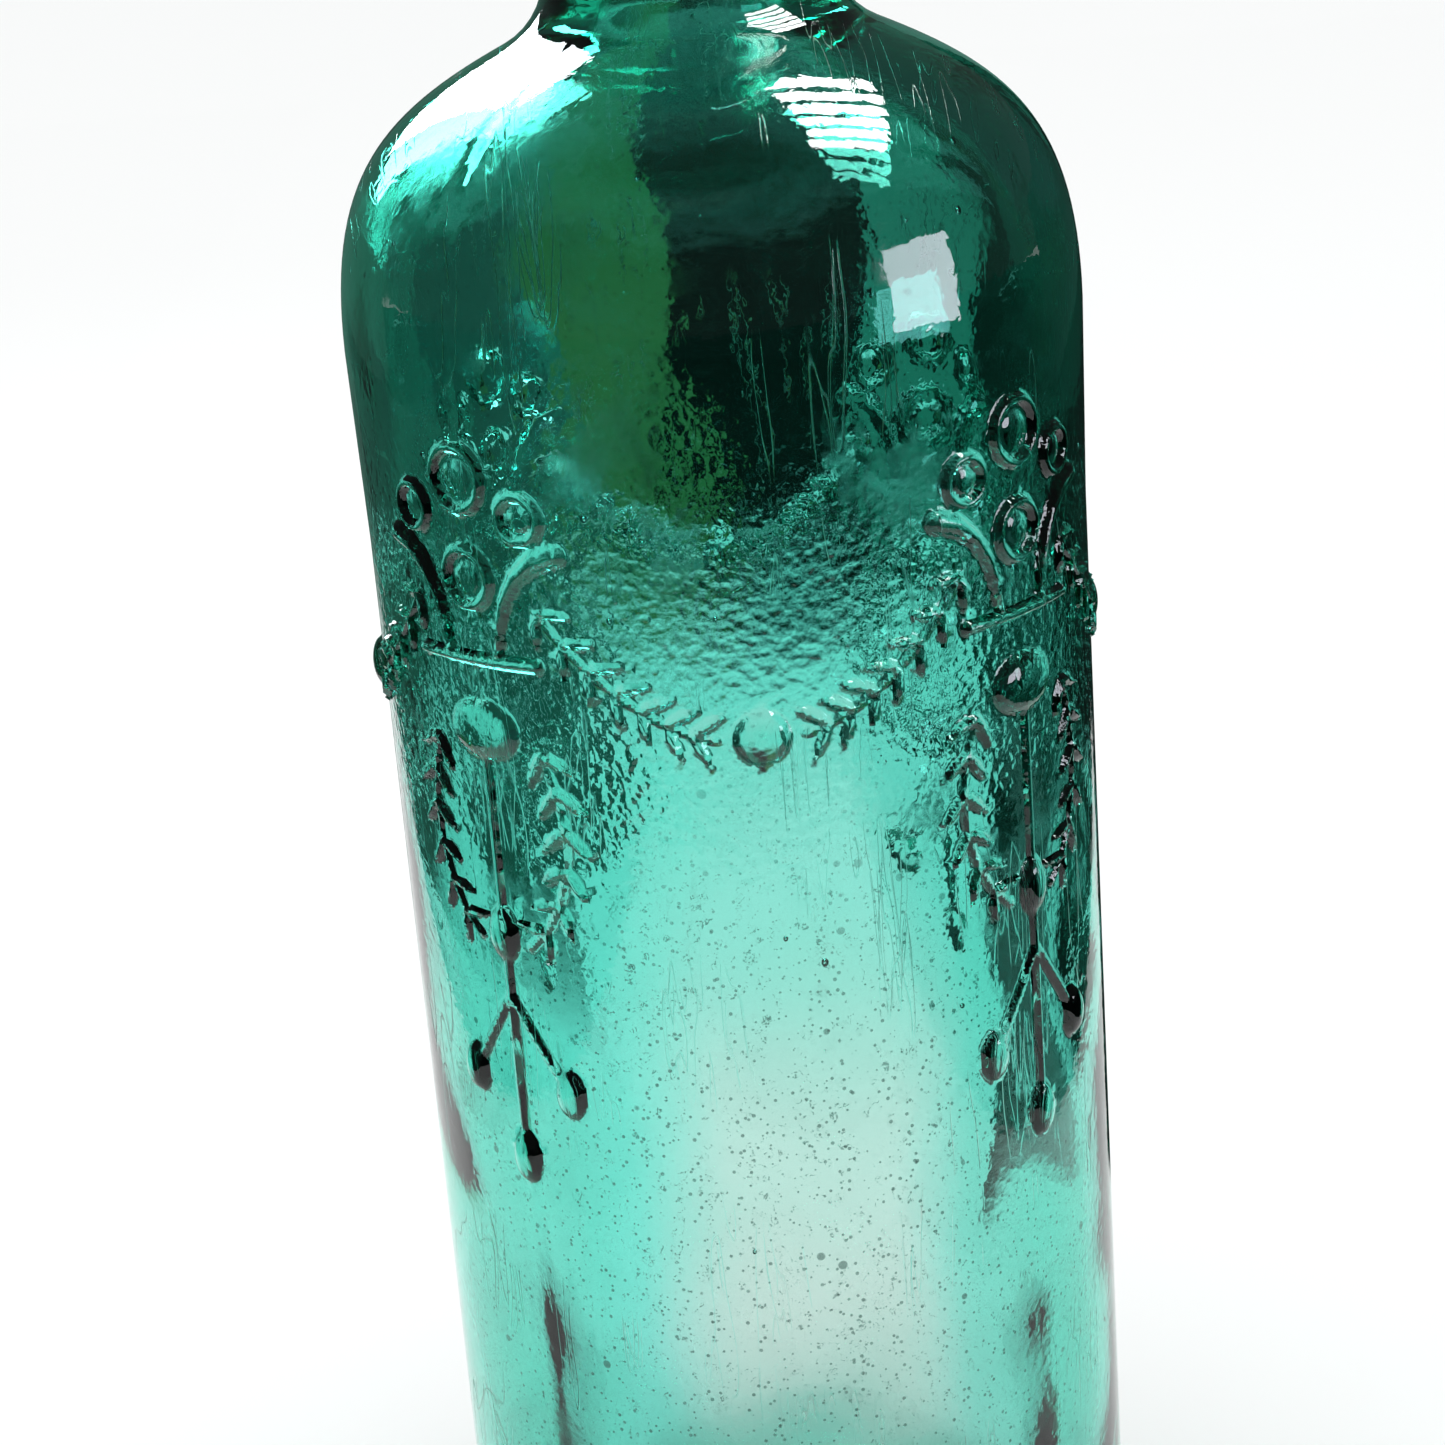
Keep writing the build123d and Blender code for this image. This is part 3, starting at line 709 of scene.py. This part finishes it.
# ---------------------------------------------------------------------------------------
# Stage
# ---------------------------------------------------------------------------------------
def floor():
    """A large pale sheet of paper."""
    bpy.ops.object.select_all(action="DESELECT")
    bpy.ops.mesh.primitive_plane_add(size=14.0, location=(0.0, 0.0, -0.0002))
    paper = bpy.context.object
    paper.name = "floor"
    material, tree, shader = new_material("floor_paper")
    shader.inputs["Base Color"].default_value = (0.9, 0.9, 0.9, 1.0)
    shader.inputs["Roughness"].default_value = 0.8
    paper.data.materials.append(material)


def direction(azimuth, elevation):
    """Unit vector from an azimuth (0 is +X, 90 is +Y) and an elevation, in degrees."""
    turn = math.radians(azimuth)
    lift = math.radians(elevation)
    return Vector((math.cos(turn) * math.cos(lift), math.sin(turn) * math.cos(lift), math.sin(lift)))


SHOULDER_MIDDLE = Vector((0.0, 0.0, SHOULDER_FOOT_Z + CROWN_RISE / 2.0))


def area_light(name, azimuth, elevation, distance, size, power, colour=(1.0, 1.0, 1.0), shift=(0.0, 0.0)):
    """A rectangular light that faces the shoulder from a direction."""
    data = bpy.data.lights.new(name, "AREA")
    data.shape = "RECTANGLE"
    data.size = size[0]
    data.size_y = size[1]
    data.energy = power
    data.color = colour
    light = bpy.data.objects.new(name, data)
    light.visible_diffuse = False
    bpy.context.scene.collection.objects.link(light)
    turn = direction(azimuth, elevation).to_track_quat("Z", "Y")
    light.rotation_euler = turn.to_euler()
    light.location = SHOULDER_MIDDLE + direction(azimuth, elevation) * distance + turn @ Vector((*shift, 0.0))
    return light


def painted_reflection_card(name, centre, size, tilt, turn, colour, soft_foot):
    """A glowing card, tilted up and turned about Z, that shows only in the glass and through it: its emission is
    painted light, painting dark and tinted reflections and refractions in the glass.
    """
    bpy.ops.object.select_all(action="DESELECT")
    bpy.ops.mesh.primitive_plane_add(size=1.0)
    card = bpy.context.object
    card.name = name
    card.scale = (size[0], size[1], 1.0)
    card.rotation_euler = (math.radians(tilt), 0.0, math.radians(turn))
    card.location = centre
    bpy.ops.object.transform_apply(location=True, rotation=True, scale=True)
    material, tree, shader = new_material(name)
    shader.inputs["Base Color"].default_value = (0.0, 0.0, 0.0, 1.0)
    shader.inputs["Specular IOR Level"].default_value = 0.0
    # Painted light: the card glows in its own colour though it is no lamp, so the glass shows a painted reflection and
    # refraction of it.
    shader.inputs["Emission Color"].default_value = (*colour, 1.0)
    shader.inputs["Emission Strength"].default_value = 1.0
    axes = put(tree, "ShaderNodeSeparateXYZ", {"Vector": put(tree, "ShaderNodeTexCoord").outputs["Object"]})
    tree.links.new(between(tree, axes.outputs["Z"], 0.0, soft_foot), shader.inputs["Alpha"])
    card.data.materials.append(material)
    card.visible_camera = False
    card.visible_diffuse = False
    card.visible_shadow = False


def studio():
    """Windows that give the shoulder its highlights, a soft top light, glowing cards behind and beside the glass, and
    dark glowing mats on the floor that paint shade and tinted reflections into the glass.
    """
    area_light("window_back", 108.0, 30.0, 1.0, (0.36, 0.62), 9.0, (0.93, 0.95, 1.0))
    area_light("window_right", -27.0, 4.0, 1.0, (0.42, 0.36), 5.0, (0.88, 0.88, 1.0))
    slats = 6
    for index in range(slats):
        offset = (index - (slats - 1) / 2.0) * 0.12
        area_light(f"blind_{index}", 22.0, 61.0, 1.0, (0.085, 0.34), 2.0, shift=(offset, 0.0))
    sky = bpy.data.lights.new("soft_top", "SUN")
    sky.energy = 3.4
    sky.angle = math.radians(70.0)
    overhead = bpy.data.objects.new("soft_top", sky)
    bpy.context.scene.collection.objects.link(overhead)
    overhead.visible_glossy = False
    overhead.visible_transmission = False
    back = 0.28
    # Glowing cards behind and beside the bottle: painted reflections and refractions. The near-black ones are painted
    # shade, and the teal and olive ones paint tinted bands seen through the glass.
    painted_reflection_cards = [
        ("card_left", (-0.366, 0.38), (0.666, back), 0.0, (0.07, 0.17, 0.135), 0.05),
        ("card_olive", (-0.014, 0.375), (0.038, back), 0.0, (0.13, 0.18, 0.07), 0.05),
        ("card_dark", (0.037, 0.375), (0.064, back), 0.0, (0.004, 0.007, 0.006), 0.05),
        ("card_teal", (0.100, 0.378), (0.062, back), 0.0, (0.10, 0.23, 0.19), 0.05),
        ("card_shade", (0.150, 0.375), (0.040, back), 0.0, (0.006, 0.012, 0.010), 0.05),
        ("card_right", (0.490, 0.38), (0.640, back), 0.0, (0.02, 0.055, 0.045), 0.05),
        ("side_shade", (-0.048, 0.17), (0.040, 0.19), 0.0, (0.05, 0.10, 0.085), 0.045),
        ("flag_left", (-0.20, 0.05), (0.60, 0.12), 90.0, (0.04, 0.09, 0.075), 0.03),
        ("flag_right", (0.17, 0.05), (0.60, 0.12), 90.0, (0.008, 0.015, 0.013), 0.03),
        # Painted shade: a near-black card that paints a dark finger of reflection low on the right of the glass.
        ("finger", (0.070, 0.105), (0.032, 0.15), 0.0, (0.006, 0.012, 0.010), 0.006),
    ]
    for label, (across, behind), size, turn, colour, soft_foot in painted_reflection_cards:
        painted_reflection_card(label, (across, behind, size[1] / 2.0), size, 90.0, turn, colour, soft_foot)
    # Dark glowing mats on the floor, out of the camera's sight: painted shade in the reflections low on the glass, in
    # place of the pale floor.
    painted_shade_mats = [
        ("mat_front", (0.0, -3.665), (14.0, 6.67)),
        ("mat_left", (-3.605, 0.85), (6.79, 2.36)),
        ("mat_right", (3.590, 0.85), (6.82, 2.36)),
    ]
    for label, (across, behind), size in painted_shade_mats:
        painted_reflection_card(label, (across, behind, 2.0 * MM), size, 0.0, 0.0, (0.012, 0.025, 0.022), 1.0 * MM)
    world = bpy.data.worlds.new("studio")
    bpy.context.scene.world = world
    world.use_nodes = True
    tree = world.node_tree
    plain = tree.nodes["Background"]
    plain.inputs["Color"].default_value = (1.0, 1.0, 1.0, 1.0)
    plain.inputs["Strength"].default_value = 1.0
    room = put(tree, "ShaderNodeBackground", {"Color": (0.5, 0.62, 0.6, 1.0), "Strength": 0.12})
    rays = put(tree, "ShaderNodeLightPath")
    mixed = put(tree, "ShaderNodeMixShader", {0: rays.outputs["Is Camera Ray"], 1: room.outputs[0], 2: plain.outputs[0]})
    tree.links.new(mixed.outputs[0], tree.nodes["World Output"].inputs["Surface"])


CAMERA_TURN = math.radians(-2.43)
CAMERA_DISTANCE = 296.8 * MM
CAMERA_HEIGHT = 215.5 * MM
CAMERA_DOWN = math.radians(18.10)
CAMERA_YAW = math.radians(-0.45)
CAMERA_ROLL = math.radians(-4.52)
CAMERA_LENS = 71.3


def camera():
    """The camera looks down on the shoulder, with the bottle leaning a little to the left."""
    data = bpy.data.cameras.new("camera")
    data.lens = CAMERA_LENS
    data.sensor_width = 36.0
    data.clip_start = 0.01
    data.clip_end = 50.0
    obj = bpy.data.objects.new("camera", data)
    bpy.context.scene.collection.objects.link(obj)
    forward = Vector((math.sin(CAMERA_YAW) * math.cos(CAMERA_DOWN),
                      math.cos(CAMERA_YAW) * math.cos(CAMERA_DOWN),
                      -math.sin(CAMERA_DOWN)))
    right = Vector((math.cos(CAMERA_YAW), -math.sin(CAMERA_YAW), 0.0))
    up = right.cross(forward)
    rolled_right = math.cos(CAMERA_ROLL) * right + math.sin(CAMERA_ROLL) * up
    rolled_up = -math.sin(CAMERA_ROLL) * right + math.cos(CAMERA_ROLL) * up
    axes = Matrix((rolled_right, rolled_up, -forward)).transposed().to_4x4()
    place = Matrix.Translation((0.0, -CAMERA_DISTANCE, CAMERA_HEIGHT))
    obj.matrix_world = Matrix.Rotation(CAMERA_TURN, 4, "Z") @ place @ axes
    bpy.context.scene.camera = obj


groups = {
    "orange_peel": orange_peel_group(),
    "pepper": pepper_group(),
    "scratches": scratches_group(),
    "haze": haze_group(),
}
camera()
bottle = blown_bottle()
seeds = air_seeds()
finishes = {
    bottle: blown_glass("teal_glass", groups, 180.0, 0.035 * MM, 0.12),
    seeds: trapped_air(),
    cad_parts["applied_collar"]: blown_glass("collar_glass", groups, 200.0, 0.05 * MM, 0.10),
    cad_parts["glass_stopper"]: blown_glass("stopper_glass", groups, 150.0, 0.012 * MM, 0.05),
    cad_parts["shell_cork"]: cork_bark(groups),
}
for piece, finish in finishes.items():
    piece.data.materials.clear()
    piece.data.materials.append(finish)
floor()
studio()
bpy.context.scene.view_settings.view_transform = "Standard"
print("bottle triangles", sum(len(p.vertices) - 2 for p in bottle.data.polygons))
